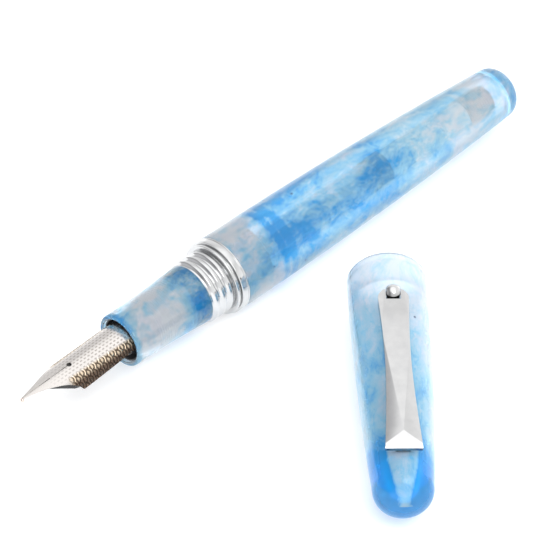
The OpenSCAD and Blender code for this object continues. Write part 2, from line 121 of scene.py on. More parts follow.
class Sheet:
    """A shader node tree with short ways to add and join nodes."""

    def __init__(self, tree: bpy.types.NodeTree) -> None:
        """Keeps the tree.

        Args:
            tree: the node tree to build in.
        """
        self.tree = tree

    def node(self, kind: str, inputs: dict | None = None, **settings: object) -> bpy.types.Node:
        """Adds a node.

        Args:
            kind: the node's type name.
            inputs: a value or an output socket for each input, by name or number.
            settings: the node's own properties.

        Returns:
            The new node.
        """
        made = self.tree.nodes.new(kind)
        for key, value in settings.items():
            setattr(made, key, value)
        for key, value in (inputs or {}).items():
            if isinstance(value, bpy.types.NodeSocket):
                self.tree.links.new(value, made.inputs[key])
            else:
                made.inputs[key].default_value = value
        return made

    def maths(self, operation: str, *values: float | Socket, clamp: bool = False) -> Socket:
        """One sum.

        Args:
            operation: the Math node's operation.
            values: its inputs in order.
            clamp: True to keep the result between 0 and 1.

        Returns:
            The result's socket.
        """
        made = self.node("ShaderNodeMath", dict(enumerate(values)), operation=operation, use_clamp=clamp)
        return made.outputs[0]

    def vector(self, operation: str, *values: object) -> Socket:
        """One vector sum, as maths does for numbers.

        Args:
            operation: the Vector Math node's operation.
            values: its inputs in order.

        Returns:
            The result's first socket.
        """
        return self.node("ShaderNodeVectorMath", dict(enumerate(values)), operation=operation).outputs[0]

    def ramp(self, factor: Socket, stops: Sequence[tuple[float, Colour]], smooth: bool = False) -> Socket:
        """A colour ramp.

        Args:
            factor: what drives it.
            stops: a place from 0 to 1 and a colour for each stop.
            smooth: True to ease between the stops.

        Returns:
            The colour socket.
        """
        made = self.node("ShaderNodeValToRGB", {0: factor})
        bar = made.color_ramp
        bar.interpolation = "EASE" if smooth else "LINEAR"
        while len(bar.elements) < len(stops):
            bar.elements.new(1.0)
        for element, (place, colour) in zip(bar.elements, stops):
            element.position = place
            element.color = (*colour, 1.0)
        return made.outputs[0]

    def blend(self, share: float | Socket, first: object, second: object, kind: str = "MIX") -> Socket:
        """Mixes two colours.

        Args:
            share: how much of the second.
            first: a colour or a socket.
            second: a colour or a socket.
            kind: the blend type.

        Returns:
            The mixed colour's socket.
        """
        made = self.node("ShaderNodeMix", data_type="RGBA", blend_type=kind)
        for place, value in ((0, share), (6, first), (7, second)):
            if isinstance(value, bpy.types.NodeSocket):
                self.tree.links.new(value, made.inputs[place])
            elif place == 0:
                made.inputs[place].default_value = value
            else:
                made.inputs[place].default_value = (*value, 1.0)
        return made.outputs[2]

    def spread(
        self, value: Socket, low: float, high: float, to_low: float = 0.0, to_high: float = 1.0
    ) -> Socket:
        """Stretches a range of numbers to another, held at its ends.

        Args:
            value: the number's socket.
            low: the start of the range it comes from.
            high: the end of that range.
            to_low: what low becomes.
            to_high: what high becomes.

        Returns:
            The new number's socket.
        """
        made = self.node("ShaderNodeMapRange", {0: value, 1: low, 2: high, 3: to_low, 4: to_high})
        return made.outputs[0]


class EffectGroup:
    """A shader node group with named inputs and outputs, built once and placed in each material."""

    def __init__(
        self, name: str, inputs: Sequence[tuple[str, str, object]], outputs: Sequence[tuple[str, str]]
    ) -> None:
        """Makes the empty group.

        Args:
            name: the group's name.
            inputs: name, socket type and default of each input.
            outputs: name and socket type of each output.
        """
        self.tree = bpy.data.node_groups.new(name, "ShaderNodeTree")
        for title, kind, default in inputs:
            socket = self.tree.interface.new_socket(title, in_out="INPUT", socket_type=kind)
            if default is not None:
                socket.default_value = default
        for title, kind in outputs:
            self.tree.interface.new_socket(title, in_out="OUTPUT", socket_type=kind)
        self.sheet = Sheet(self.tree)
        self.given = self.tree.nodes.new("NodeGroupInput").outputs
        self._result = self.tree.nodes.new("NodeGroupOutput").inputs

    def give(self, title: str, socket: Socket) -> None:
        """Joins a socket to one of the group's outputs.

        Args:
            title: the output's name.
            socket: what it gives.
        """
        self.tree.links.new(socket, self._result[title])

    def place(self, sheet: Sheet, **inputs: object) -> bpy.types.Node:
        """Puts the group in a material.

        Args:
            sheet: the material's node sheet.
            inputs: values or sockets by input name, with spaces written as underscores.

        Returns:
            The group node.
        """
        named = {key.replace("_", " "): value for key, value in inputs.items()}
        return sheet.node("ShaderNodeGroup", named, node_tree=self.tree)


@dataclass(frozen=True)
class Veil:
    """One cloudy pattern in the resin.

    Attributes:
        stretch: scale along the piece; less than 1 draws the pattern out.
        finer: how many times finer than the cloud size it is.
        roughness: how strong its small detail is.
        warp: how far it is swirled.
    """

    stretch: float
    finer: float
    roughness: float
    warp: float


PATCHES = Veil(0.7, 0.6, 0.55, 0.5)
CLOUDS = Veil(0.8, 1.7, 0.72, 0.7)
SMOKE = Veil(0.5, 1.8, 0.6, 1.0)
WISPS = Veil(0.5, 2.6, 0.75, 0.8)
HAZES = Veil(0.8, 0.8, 0.6, 0.6)


def build_marbling() -> EffectGroup:
    """Clouds, smoky strands and pale wisps of dye in cast resin, as a colour and a cloud mask.

    Returns:
        The group. Shift moves the whole towards the deep colour.
    """
    swing_gain = 1.3
    strand_w, strand_depth = 0.05, 0.14
    wisp_low, wisp_high, wisp_depth = 0.53, 0.68, 0.35
    haze_low, haze_high = 0.46, 0.62
    group = EffectGroup(
        "marbling",
        [
            ("Vector", "NodeSocketVector", None),
            ("Cloud Size", "NodeSocketFloat", 6.0),
            ("Shift", "NodeSocketFloat", 0.0),
            ("Contrast", "NodeSocketFloat", 2.4),
            ("Pale", "NodeSocketColor", (0.9, 0.94, 0.98, 1)),
            ("Haze", "NodeSocketColor", (0.8, 0.78, 0.88, 1)),
            ("Middle", "NodeSocketColor", (0.55, 0.78, 0.96, 1)),
            ("Deep", "NodeSocketColor", (0.08, 0.4, 0.85, 1)),
        ],
        [("Colour", "NodeSocketColor"), ("Cloud", "NodeSocketFloat")],
    )
    sheet, given = group.sheet, group.given
    scale = sheet.maths("DIVIDE", 1.0, sheet.maths("MULTIPLY", given["Cloud Size"], MM))

    def noise(veil: Veil) -> Socket:
        """A veil's pattern, from 0 to 1."""
        way = sheet.vector("MULTIPLY", given["Vector"], (veil.stretch, 1.0, 1.0))
        inputs = {
            "Vector": way, "Scale": sheet.maths("MULTIPLY", scale, veil.finer),
            "Detail": 8.0, "Roughness": veil.roughness, "Distortion": veil.warp,
        }
        return sheet.node("ShaderNodeTexNoise", inputs).outputs[0]

    def centred(veil: Veil) -> Socket:
        """A veil's pattern, about 0."""
        return sheet.maths("SUBTRACT", noise(veil), 0.5)

    patches = sheet.maths("MULTIPLY", centred(PATCHES), swing_gain)
    clouds = sheet.maths("MULTIPLY", centred(CLOUDS), swing_gain)
    strands = sheet.spread(sheet.maths("ABSOLUTE", centred(SMOKE)), 0.0, strand_w, strand_depth, 0.0)
    wisps = sheet.spread(noise(WISPS), wisp_low, wisp_high, 0.0, wisp_depth)
    swing = sheet.maths("MULTIPLY", sheet.maths("ADD", patches, clouds), given["Contrast"])
    dark = sheet.maths("SUBTRACT", sheet.maths("ADD", swing, strands), wisps)
    depth = sheet.maths("ADD", dark, given["Shift"], clamp=True)
    hazy = sheet.spread(noise(HAZES), haze_low, haze_high)
    pale = sheet.blend(hazy, given["Pale"], given["Haze"])
    low = sheet.blend(sheet.spread(depth, 0.0, 0.5), pale, given["Middle"])
    full = sheet.blend(sheet.spread(depth, 0.5, 1.0), low, given["Deep"])
    group.give("Colour", full)
    group.give("Cloud", depth)
    return group


def build_specks() -> EffectGroup:
    """A few tiny grains of stray pigment, as a mask and a number that picks each grain's colour.

    Returns:
        The group.
    """
    group = EffectGroup(
        "pigment_specks",
        [
            ("Vector", "NodeSocketVector", None),
            ("Spacing", "NodeSocketFloat", 4.0),
            ("Size", "NodeSocketFloat", 0.05),
            ("Share", "NodeSocketFloat", 0.3),
        ],
        [("Mask", "NodeSocketFloat"), ("Pick", "NodeSocketFloat")],
    )
    sheet, given = group.sheet, group.given
    scale = sheet.maths("DIVIDE", 1.0, sheet.maths("MULTIPLY", given["Spacing"], MM))
    cells = sheet.node("ShaderNodeTexVoronoi", {"Vector": given["Vector"], "Scale": scale})
    near = sheet.maths("LESS_THAN", cells.outputs["Distance"], given["Size"])
    parts = sheet.node("ShaderNodeSeparateColor", {0: cells.outputs["Color"]})
    chosen = sheet.maths("LESS_THAN", parts.outputs[0], given["Share"])
    group.give("Mask", sheet.maths("MULTIPLY", near, chosen))
    group.give("Pick", parts.outputs[1])
    return group


def build_handling() -> EffectGroup:
    """Marks of handling: a soft cloud of wear in the gloss and fine scratches.

    Returns:
        The group, whose Wear is 0 to 1 and whose Height is in metres.
    """
    group = EffectGroup(
        "handling_marks",
        [
            ("Vector", "NodeSocketVector", None),
            ("Patch Size", "NodeSocketFloat", 3.0),
            ("Scratch Depth", "NodeSocketFloat", 0.001),
        ],
        [("Wear", "NodeSocketFloat"), ("Height", "NodeSocketFloat")],
    )
    sheet, given = group.sheet, group.given
    scratch_way, scratch_finer = (0.06, 1.0, 0.8), 22.0
    scale = sheet.maths("DIVIDE", 1.0, sheet.maths("MULTIPLY", given["Patch Size"], MM))
    cloud = sheet.node("ShaderNodeTexNoise", {"Vector": given["Vector"], "Scale": scale, "Detail": 6.0})
    thin = sheet.vector("MULTIPLY", given["Vector"], scratch_way)
    fine = sheet.maths("MULTIPLY", scale, scratch_finer)
    lines = sheet.node("ShaderNodeTexNoise", {"Vector": thin, "Scale": fine, "Detail": 2.0})
    cut = sheet.spread(lines.outputs[0], 0.62, 0.7)
    group.give("Wear", sheet.spread(cloud.outputs[0], 0.35, 0.7))
    depth = sheet.maths("MULTIPLY", sheet.maths("MULTIPLY", given["Scratch Depth"], MM), cut)
    group.give("Height", sheet.maths("MULTIPLY", depth, -1.0))
    return group


def build_turning() -> EffectGroup:
    """Fine rings that a lathe leaves, across the axis of a round piece.

    Returns:
        The group, whose Height is in metres.
    """
    group = EffectGroup(
        "lathe_rings",
        [
            ("Along", "NodeSocketFloat", 0.0),
            ("Pitch", "NodeSocketFloat", 0.12),
            ("Depth", "NodeSocketFloat", 0.004),
        ],
        [("Height", "NodeSocketFloat")],
    )
    sheet, given = group.sheet, group.given
    count = sheet.maths("DIVIDE", given["Along"], sheet.maths("MULTIPLY", given["Pitch"], MM))
    noise = sheet.node(
        "ShaderNodeTexNoise", {"W": count, "Scale": 1.0, "Detail": 3.0}, noise_dimensions="1D"
    )
    depth = sheet.maths("MULTIPLY", given["Depth"], MM)
    group.give("Height", sheet.maths("MULTIPLY", noise.outputs[0], depth))
    return group


@dataclass
class Effects:
    """The node groups that the finishes share."""

    marbling: EffectGroup = field(default_factory=build_marbling)
    specks: EffectGroup = field(default_factory=build_specks)
    handling: EffectGroup = field(default_factory=build_handling)
    turning: EffectGroup = field(default_factory=build_turning)


# ---- Places ----


@dataclass(frozen=True)
class Lay:
    """Where a round piece lies: the start of its axis, and two directions of its own frame."""

    start: Vector
    along: Vector
    across: Vector

    def up(self) -> Vector:
        """The third direction of the piece's own frame.

        Returns:
            A vector square to the other two.
        """
        return self.along.cross(self.across)

    def matrix(self) -> Matrix:
        """The piece's own frame in the row frame.

        Returns:
            The matrix that takes the piece's own frame to the row frame.
        """
        turned = Matrix((self.along, self.across, self.up())).transposed().to_4x4()
        return Matrix.Translation(self.start) @ turned

    def mapped(self, sheet: Sheet) -> Socket:
        """Object coordinates turned to the piece's own frame.

        Args:
            sheet: the material's node sheet.

        Returns:
            The vector's socket, with X along the piece's axis from its start.
        """
        coords = sheet.node("ShaderNodeTexCoord").outputs["Object"]
        turn = self.matrix().to_euler()
        made = sheet.node("ShaderNodeMapping", {0: coords, 1: self.start, 2: turn}, vector_type="TEXTURE")
        return made.outputs[0]


PEN_LAY = Lay(Vector((0, 0, 0)), Vector((1, 0, 0)), Vector((0, 1, 0)))


def cap_lay(frame: dict) -> Lay:
    """The cap's frame, with its mouth at the start. The mount sits a fixed depth inside the mouth.


    Returns:
        The cap's lay.
    """
    mouth = next(m for m in frame["record"]["mounts"] if m["name"] == "cap_mouth")
    pull = next(j for j in frame["joints"] if j["name"] == "cap_draw")
    along = Vector(pull["axis"]).normalized()
    inside = Vector(mouth["pos_m"])
    depth_of_mount = 15 * MM
    return Lay(inside - along * depth_of_mount, along, Vector((-along.y, along.x, 0)))


def clip_lay(frame: dict, cap: Lay) -> Lay:
    """The clip's frame: the cap's, rolled about the cap's axis to the clip's own pivot.

    Args:
        cap: the cap's lay.

    Returns:
        The clip's lay.
    """
    lift = next(j for j in frame["joints"] if j["name"] == "clip_lift")
    return Lay(cap.start, cap.along, -Vector(lift["axis"]).normalized())


# ---- Finishes ----


def new_material(name: str) -> tuple[bpy.types.Material, Sheet, bpy.types.Node]:
    """Starts a material.

    Args:
        name: the material's name.

    Returns:
        The material, its node sheet and its Principled shader.
    """
    made = bpy.data.materials.new(name)
    made.use_nodes = True
    sheet = Sheet(made.node_tree)
    shader = made.node_tree.nodes["Principled BSDF"]
    return made, sheet, shader


def raise_surface(sheet: Sheet, shader: bpy.types.Node, height: Socket) -> None:
    """Turns a height in metres into the shader's normal.

    Args:
        sheet: the material's node sheet.
        shader: its Principled shader.
        height: the height's socket.
    """
    bump = sheet.node("ShaderNodeBump", {"Height": height, "Distance": 1.0, "Strength": 1.0})
    sheet.tree.links.new(bump.outputs[0], shader.inputs["Normal"])


@dataclass(frozen=True)
class MarbledResin:
    """Cast translucent resin, turned and polished, with blue dye in clouds.

    Attributes:
        name: the material's name.
        lay: the frame that the pattern is laid in.
        start: where the piece starts along its axis.
        end: where it ends.
        depths: places along the axis, each with how deep the dye is there.
        bore_span: where the drilled inside starts and ends.
        bore_limits: the radius at each end of that span, within which the surface is the bore's.
        painted_light_oval: the middle, half length and half width of a pale oval of painted light on the
            upper side, where light would show through the thin resin over the drilled end.
        painted_light_strength: how strongly that painted light pales the colour there.
    """

    name: str
    lay: Lay
    start: float
    end: float
    depths: tuple[tuple[float, float], ...]
    bore_span: tuple[float, float]
    bore_limits: tuple[float, float]
    pale: Colour = (0.92, 0.955, 1.0)
    haze: Colour = (0.87, 0.88, 0.97)
    middle: Colour = (0.38, 0.765, 0.99)
    deep: Colour = (0.02, 0.41, 0.95)
    ink: Colour = (0.02, 0.03, 0.10)
    navy: Colour = (0.02, 0.06, 0.22)
    red: Colour = (0.45, 0.02, 0.03)
    bore_colour: Colour = (0.88, 0.95, 1.0)
    cloud_size: float = 6.0
    contrast: float = 2.0
    clearness: float = 0.74
    gloss: tuple[float, float] = (0.05, 0.11)
    bore_rough: float = 0.08
    painted_light_oval: tuple[float, float, float] | None = None
    painted_light_strength: float = 0.9

    def bore_mask(self, sheet: Sheet, parts: Sequence[Socket]) -> Socket:
        """Marks the drilled inside of the piece, which is duller and takes less dye.

        Args:
            sheet: the material's node sheet.
            parts: the place's three numbers in the piece's own frame.

        Returns:
            A socket that is 1 on the bore and 0 outside.
        """
        first, last = (at * MM for at in self.bore_span)
        square = sheet.maths("ADD", sheet.maths("POWER", parts[1], 2.0), sheet.maths("POWER", parts[2], 2.0))
        limit = sheet.spread(parts[0], first, last, *(limit * MM for limit in self.bore_limits))
        inside = sheet.maths("LESS_THAN", sheet.maths("SQRT", square), limit)
        reached = sheet.maths("GREATER_THAN", parts[0], first)
        ended = sheet.maths("LESS_THAN", parts[0], last)
        return sheet.maths("MULTIPLY", inside, sheet.maths("MULTIPLY", reached, ended))

    def painted_light_mask(self, sheet: Sheet, parts: Sequence[Socket]) -> Socket:
        """Marks an oval of painted light on the upper side, standing in for light that shows through the
        thin resin over the drilled end.

        Args:
            sheet: the material's node sheet.
            parts: the place's three numbers in the piece's own frame.

        Returns:
            A socket that is 1 in the oval and 0 outside.
        """
        middle, half_l, half_w = self.painted_light_oval
        far = sheet.maths("DIVIDE", sheet.maths("SUBTRACT", parts[0], middle * MM), half_l * MM)
        wide = sheet.maths("DIVIDE", parts[1], half_w * MM)
        square = sheet.maths("ADD", sheet.maths("POWER", far, 2.0), sheet.maths("POWER", wide, 2.0))
        upper = sheet.maths("GREATER_THAN", parts[2], 0.0)
        return sheet.maths("MULTIPLY", upper, sheet.spread(square, 0.7, 1.05, 1.0, 0.0))

    def make(self, effects: Effects) -> bpy.types.Material:
        """Builds the material.

        Args:
            effects: the shared node groups.

        Returns:
            The material.
        """
        made, sheet, shader = new_material(self.name)
        place = self.lay.mapped(sheet)
        parts = sheet.node("ShaderNodeSeparateXYZ", {0: place}).outputs
        share = sheet.spread(parts[0], self.start * MM, self.end * MM)
        stops = [((at - self.start) / (self.end - self.start), (d, d, d)) for at, d in self.depths]
        shift = sheet.node("ShaderNodeRGBToBW", {0: sheet.ramp(share, stops)}).outputs[0]
        # Painted light: the oval on the upper side is paled, standing in for light showing through the thin
        # resin over the drilled end.
        if self.painted_light_oval is not None:
            painted_light_share = sheet.maths("MULTIPLY", self.painted_light_mask(sheet, parts), self.painted_light_strength)
            shift = sheet.maths("SUBTRACT", shift, painted_light_share)
        marble = effects.marbling.place(
            sheet, Vector=place, Cloud_Size=self.cloud_size, Shift=shift, Contrast=self.contrast,
            Pale=(*self.pale, 1), Haze=(*self.haze, 1), Middle=(*self.middle, 1), Deep=(*self.deep, 1),
        )
        grains = effects.specks.place(sheet, Vector=place, Spacing=4.0, Size=0.065, Share=0.3)
        grain_stops = [(0.0, self.ink), (0.55, self.navy), (0.8, self.red)]
        grain_colour = sheet.ramp(grains.outputs["Pick"], grain_stops)
        colour = sheet.blend(grains.outputs["Mask"], marble.outputs["Colour"], grain_colour)
        bore = self.bore_mask(sheet, parts)
        frost = sheet.maths("MULTIPLY", bore, sheet.spread(marble.outputs["Cloud"], 0.0, 1.0, 1.0, 0.8))
        colour = sheet.blend(frost, colour, self.bore_colour)
        marks = effects.handling.place(sheet, Vector=place, Patch_Size=4.0, Scratch_Depth=0.0003)
        sheet.tree.links.new(colour, shader.inputs["Base Color"])
        gloss = sheet.spread(marks.outputs["Wear"], 0.0, 1.0, *self.gloss)
        rough = sheet.maths("ADD", gloss, sheet.maths("MULTIPLY", bore, self.bore_rough))
        sheet.tree.links.new(rough, shader.inputs["Roughness"])
        shader.inputs["IOR"].default_value = 1.45
        shader.inputs["Transmission Weight"].default_value = self.clearness
        shader.inputs["Coat Weight"].default_value = 0.2
        shader.inputs["Coat Roughness"].default_value = 0.03
        raise_surface(sheet, shader, marks.outputs["Height"])
        return made


@dataclass(frozen=True)
class Metal:
    """A plain metal, polished or turned.

    Attributes:
        name: the material's name.
        colour: where it is clean.
        dull: where it is worn.
        roughness: clean and worn.
        lay: the frame that its marks are laid in.
        ring_depth: depth of the lathe's rings in millimetres.
        scratch_depth: depth of the scratches in millimetres.
        side: painted shade, a darker colour for faces that look sideways in that frame, standing in for the
            shadow and dark reflections on those faces, if it differs.
    """

    name: str
    colour: Colour
    dull: Colour
    roughness: tuple[float, float]
    lay: Lay = PEN_LAY
    ring_depth: float = 0.0
    scratch_depth: float = 0.0002
    side: Colour | None = None

    def make(self, effects: Effects) -> bpy.types.Material:
        """Builds the material.

        Args:
            effects: the shared node groups.

        Returns:
            The material.
        """
        made, sheet, shader = new_material(self.name)
        place = self.lay.mapped(sheet)
        marks = effects.handling.place(
            sheet, Vector=place, Patch_Size=2.5, Scratch_Depth=self.scratch_depth
        )
        along = sheet.node("ShaderNodeSeparateXYZ", {0: place}).outputs[0]
        rings = effects.turning.place(sheet, Along=along, Pitch=0.16, Depth=self.ring_depth)
        colour = sheet.blend(marks.outputs["Wear"], self.colour, self.dull)
        # Painted shade: faces that look sideways in the lay's frame are blended towards the side colour,
        # standing in for shadow and dark reflections on them.
        if self.side is not None:
            facing = sheet.node("ShaderNodeTexCoord").outputs["Normal"]
            rise = sheet.vector("DOT_PRODUCT", facing, self.lay.up()).node.outputs["Value"]
            sideways = sheet.spread(sheet.maths("ABSOLUTE", rise), 0.35, 0.75, 1.0, 0.0)
            colour = sheet.blend(sideways, colour, self.side)
        sheet.tree.links.new(colour, shader.inputs["Base Color"])
        rough = sheet.spread(marks.outputs["Wear"], 0.0, 1.0, *self.roughness)
        sheet.tree.links.new(rough, shader.inputs["Roughness"])
        shader.inputs["Metallic"].default_value = 1.0
        height = sheet.maths("ADD", marks.outputs["Height"], rings.outputs["Height"])
        raise_surface(sheet, shader, height)
        return made


@dataclass(frozen=True)
class Plastic:
    """Moulded plastic or rubber: plain, clear or frosted.

    Attributes:
        name: the material's name.
        colour: where it is clean.
        worn: where it is worn.
        roughness: clean and worn.
        clearness: how much light goes through.
        ior: how far it bends that light.
    """

    name: str
    colour: Colour
    worn: Colour
    roughness: tuple[float, float]
    clearness: float = 0.0
    ior: float = 1.46

    def make(self, effects: Effects) -> bpy.types.Material:
        """Builds the material.

        Args:
            effects: the shared node groups.

        Returns:
            The material.
        """
        made, sheet, shader = new_material(self.name)
        place = PEN_LAY.mapped(sheet)
        marks = effects.handling.place(sheet, Vector=place, Patch_Size=2.0, Scratch_Depth=0.0015)
        colour = sheet.blend(marks.outputs["Wear"], self.colour, self.worn)
        sheet.tree.links.new(colour, shader.inputs["Base Color"])
        rough = sheet.spread(marks.outputs["Wear"], 0.0, 1.0, *self.roughness)
        sheet.tree.links.new(rough, shader.inputs["Roughness"])
        shader.inputs["Transmission Weight"].default_value = self.clearness
        shader.inputs["IOR"].default_value = self.ior
        raise_surface(sheet, shader, marks.outputs["Height"])
        return made


@dataclass(frozen=True)
class EngravedSteel:
    """Nib steel: bright on its crown, warmer down its flanks, with painted shade darkening the lower rim of
    the flanks, and rows of engraved scales.

    Attributes:
        scale_w: width of one scale.
        scale_l: length of one scale.
        dash_l: length from one dash to the next.
        dash_row: width of a row of dashes.
        dash_offset: how far each row is shifted, as a share of dash_l.
        crown_z: height of the crown, from which the way down the flank is measured.
        tine_end: where the tines end and the engraved body starts.
        flank_from: how far round the flank starts.
        flank_to: how far round it is full.
        edge_at: how far round the painted shade on the lower rim of the flanks starts.
        groove_depth: depth of the engraving.
    """

    name: str = "engraved_nib_steel"
    crown: Colour = (0.64, 0.61, 0.585)
    flank: Colour = (0.74, 0.60, 0.44)
    # Painted shade colour for the lower rim of the flanks.
    painted_shade_edge: Colour = (0.16, 0.11, 0.08)
    groove: Colour = (0.045, 0.03, 0.022)
    stipple: Colour = (0.30, 0.27, 0.25)
    scale_w: float = 1.75
    scale_l: float = 1.25
    dash_l: float = 0.95
    dash_row: float = 0.6
    dash_offset: float = 0.37
    crown_z: float = 2.6
    tine_end: float = -37.0
    flank_from: float = 2.5
    flank_to: float = 3.3
    edge_at: float = 4.1
    edge_fade: float = 0.9
    body_fade: float = 1.2
    dash_fade: float = 4.0
    groove_depth: float = 0.06

    def scales(self, sheet: Sheet, along: Socket, around: Socket) -> Socket:
        """Overlapping scales in rows.

        Args:
            sheet: the material's node sheet.
            along: millimetres along the nib.
            around: millimetres across the nib.

        Returns:
            A socket that is 1 on the engraved lines and 0 between them.
        """
        row = sheet.maths("DIVIDE", along, self.scale_l)
        row_number = sheet.maths("FLOOR", row)
        odd = sheet.maths("FLOORED_MODULO", row_number, 2.0)
        half_step = sheet.maths("MULTIPLY", odd, 0.5)
        column = sheet.maths("ADD", sheet.maths("DIVIDE", around, self.scale_w), half_step)
        u = sheet.maths("SUBTRACT", sheet.maths("FRACT", column), 0.5)
        v = sheet.maths("SUBTRACT", row, row_number)
        square = sheet.maths("ADD", sheet.maths("POWER", u, 2.0), sheet.maths("POWER", v, 2.0))
        reach = sheet.maths("SQRT", square)

        def arc(radius: float) -> Socket:
            """A line at one radius of the scale."""
            off = sheet.maths("ABSOLUTE", sheet.maths("SUBTRACT", reach, radius))
            return sheet.spread(off, 0.08, 0.2, 1.0, 0.0)

        return sheet.maths("MAXIMUM", arc(0.5), arc(0.95))

    def dashes(self, sheet: Sheet, along: Socket, across: Socket) -> Socket:
        """Short engraved dashes in close rows.

        Args:
            sheet: the material's node sheet.
            along: millimetres along the nib.
            across: millimetres across the nib.

        Returns:
            A socket that is 1 on the dashes and 0 between them.
        """
        row = sheet.maths("DIVIDE", across, self.dash_row)
        shifted = sheet.maths("MULTIPLY", sheet.maths("FLOOR", row), self.dash_offset)
        step = sheet.maths("FRACT", sheet.maths("ADD", sheet.maths("DIVIDE", along, self.dash_l), shifted))
        off_step = sheet.maths("ABSOLUTE", sheet.maths("SUBTRACT", step, 0.5))
        off_row = sheet.maths("ABSOLUTE", sheet.maths("SUBTRACT", sheet.maths("FRACT", row), 0.5))
        in_step = sheet.spread(off_step, 0.2, 0.32, 1.0, 0.0)
        in_row = sheet.spread(off_row, 0.12, 0.3, 1.0, 0.0)
        return sheet.maths("MULTIPLY", in_step, in_row)

    def make(self, effects: Effects) -> bpy.types.Material:
        """Builds the material.

        Args:
            effects: the shared node groups.

        Returns:
            The material.
        """
        made, sheet, shader = new_material(self.name)
        place = PEN_LAY.mapped(sheet)
        in_mm = sheet.vector("SCALE", place)
        in_mm.node.inputs["Scale"].default_value = 1 / MM
        parts = sheet.node("ShaderNodeSeparateXYZ", {0: in_mm}).outputs
        sideways = sheet.maths("ABSOLUTE", parts[1])
        down = sheet.maths("MULTIPLY", sheet.maths("SUBTRACT", self.crown_z, parts[2]), 0.9)
        turned = sheet.maths("ADD", sideways, down)
        flank = sheet.spread(turned, self.flank_from, self.flank_to)
        # Painted shade: the flank darkens towards its lower rim as the sheet turns down, standing in for
        # shade there.
        painted_shade_edge = sheet.spread(turned, self.edge_at, self.edge_at + self.edge_fade)
        body = sheet.spread(parts[0], self.tine_end, self.tine_end + self.body_fade)
        scales = sheet.maths("MULTIPLY", self.scales(sheet, parts[0], turned), body)
        scales = sheet.maths("MULTIPLY", scales, flank)
        fine = self.dashes(sheet, parts[0], parts[1])
        fine = sheet.maths("MULTIPLY", fine, sheet.maths("SUBTRACT", 1.0, flank))
        fade = sheet.spread(
            parts[0], self.tine_end - self.dash_fade, self.tine_end + self.dash_fade, 0.0, 0.7
        )
        fine = sheet.maths("MULTIPLY", fine, fade)
        marks = effects.handling.place(sheet, Vector=place, Patch_Size=1.6, Scratch_Depth=0.0003)
        base = sheet.blend(sheet.maths("MULTIPLY", flank, body), self.crown, self.flank)
        # Blends in the painted shade on the lower rim, over the engraved body only.
        base = sheet.blend(sheet.maths("MULTIPLY", painted_shade_edge, body), base, self.painted_shade_edge)
        base = sheet.blend(fine, base, self.stipple)
        colour = sheet.blend(sheet.maths("MULTIPLY", scales, 0.9), base, self.groove)
        sheet.tree.links.new(colour, shader.inputs["Base Color"])
        worn = sheet.maths("ADD", marks.outputs["Wear"], scales)
        sheet.tree.links.new(sheet.spread(worn, 0.0, 2.0, 0.2, 0.45), shader.inputs["Roughness"])
        shader.inputs["Metallic"].default_value = 1.0
        cut = sheet.maths("ADD", scales, sheet.maths("MULTIPLY", fine, 0.3))
        sunk = sheet.maths("MULTIPLY", cut, -self.groove_depth * MM)
        raise_surface(sheet, shader, sheet.maths("ADD", marks.outputs["Height"], sunk))
        return made


# ---- Mesh tools ----


def lathe(profile: Profile, segments: int = 128) -> bmesh.types.BMesh:
    """Spins a half outline about the X axis.

    Args:
        profile: points of distance along the axis and radius, in millimetres, round the section in order.
            The outline is closed from the last point to the first, except along the axis.
        segments: steps in the full turn.

    Returns:
        The closed round mesh, in metres.
    """
    made = bmesh.new()
    points = [made.verts.new((x * MM, 0.0, r * MM)) for x, r in profile]
    edges = []
    for one, other in zip(points, points[1:] + points[:1]):
        if one.co.z > 0 or other.co.z > 0:
            edges.append(made.edges.new((one, other)))
    bmesh.ops.spin(
        made, geom=points + edges, cent=(0, 0, 0), axis=(1, 0, 0), angle=FULL_TURN, steps=segments,
        use_merge=True,
    )
    bmesh.ops.remove_doubles(made, verts=made.verts, dist=1e-7)
    bmesh.ops.recalc_face_normals(made, faces=made.faces)
    return made


def soften(made: bmesh.types.BMesh, width: float, segments: int = 2, least: float = 28.0) -> None:
    """Rounds the sharp edges.

    Args:
        made: the mesh to round.
        width: the width of the rounding in millimetres.
        segments: faces across each rounding.
        least: the least angle between faces that counts as sharp, in degrees.
    """
    sharp = [e for e in made.edges if e.is_manifold and e.calc_face_angle(0.0) > math.radians(least)]
    bmesh.ops.bevel(
        made, geom=sharp, offset=width * MM, offset_type="OFFSET", segments=segments, profile=0.5,
        affect="EDGES", clamp_overlap=True, material=-1,
    )


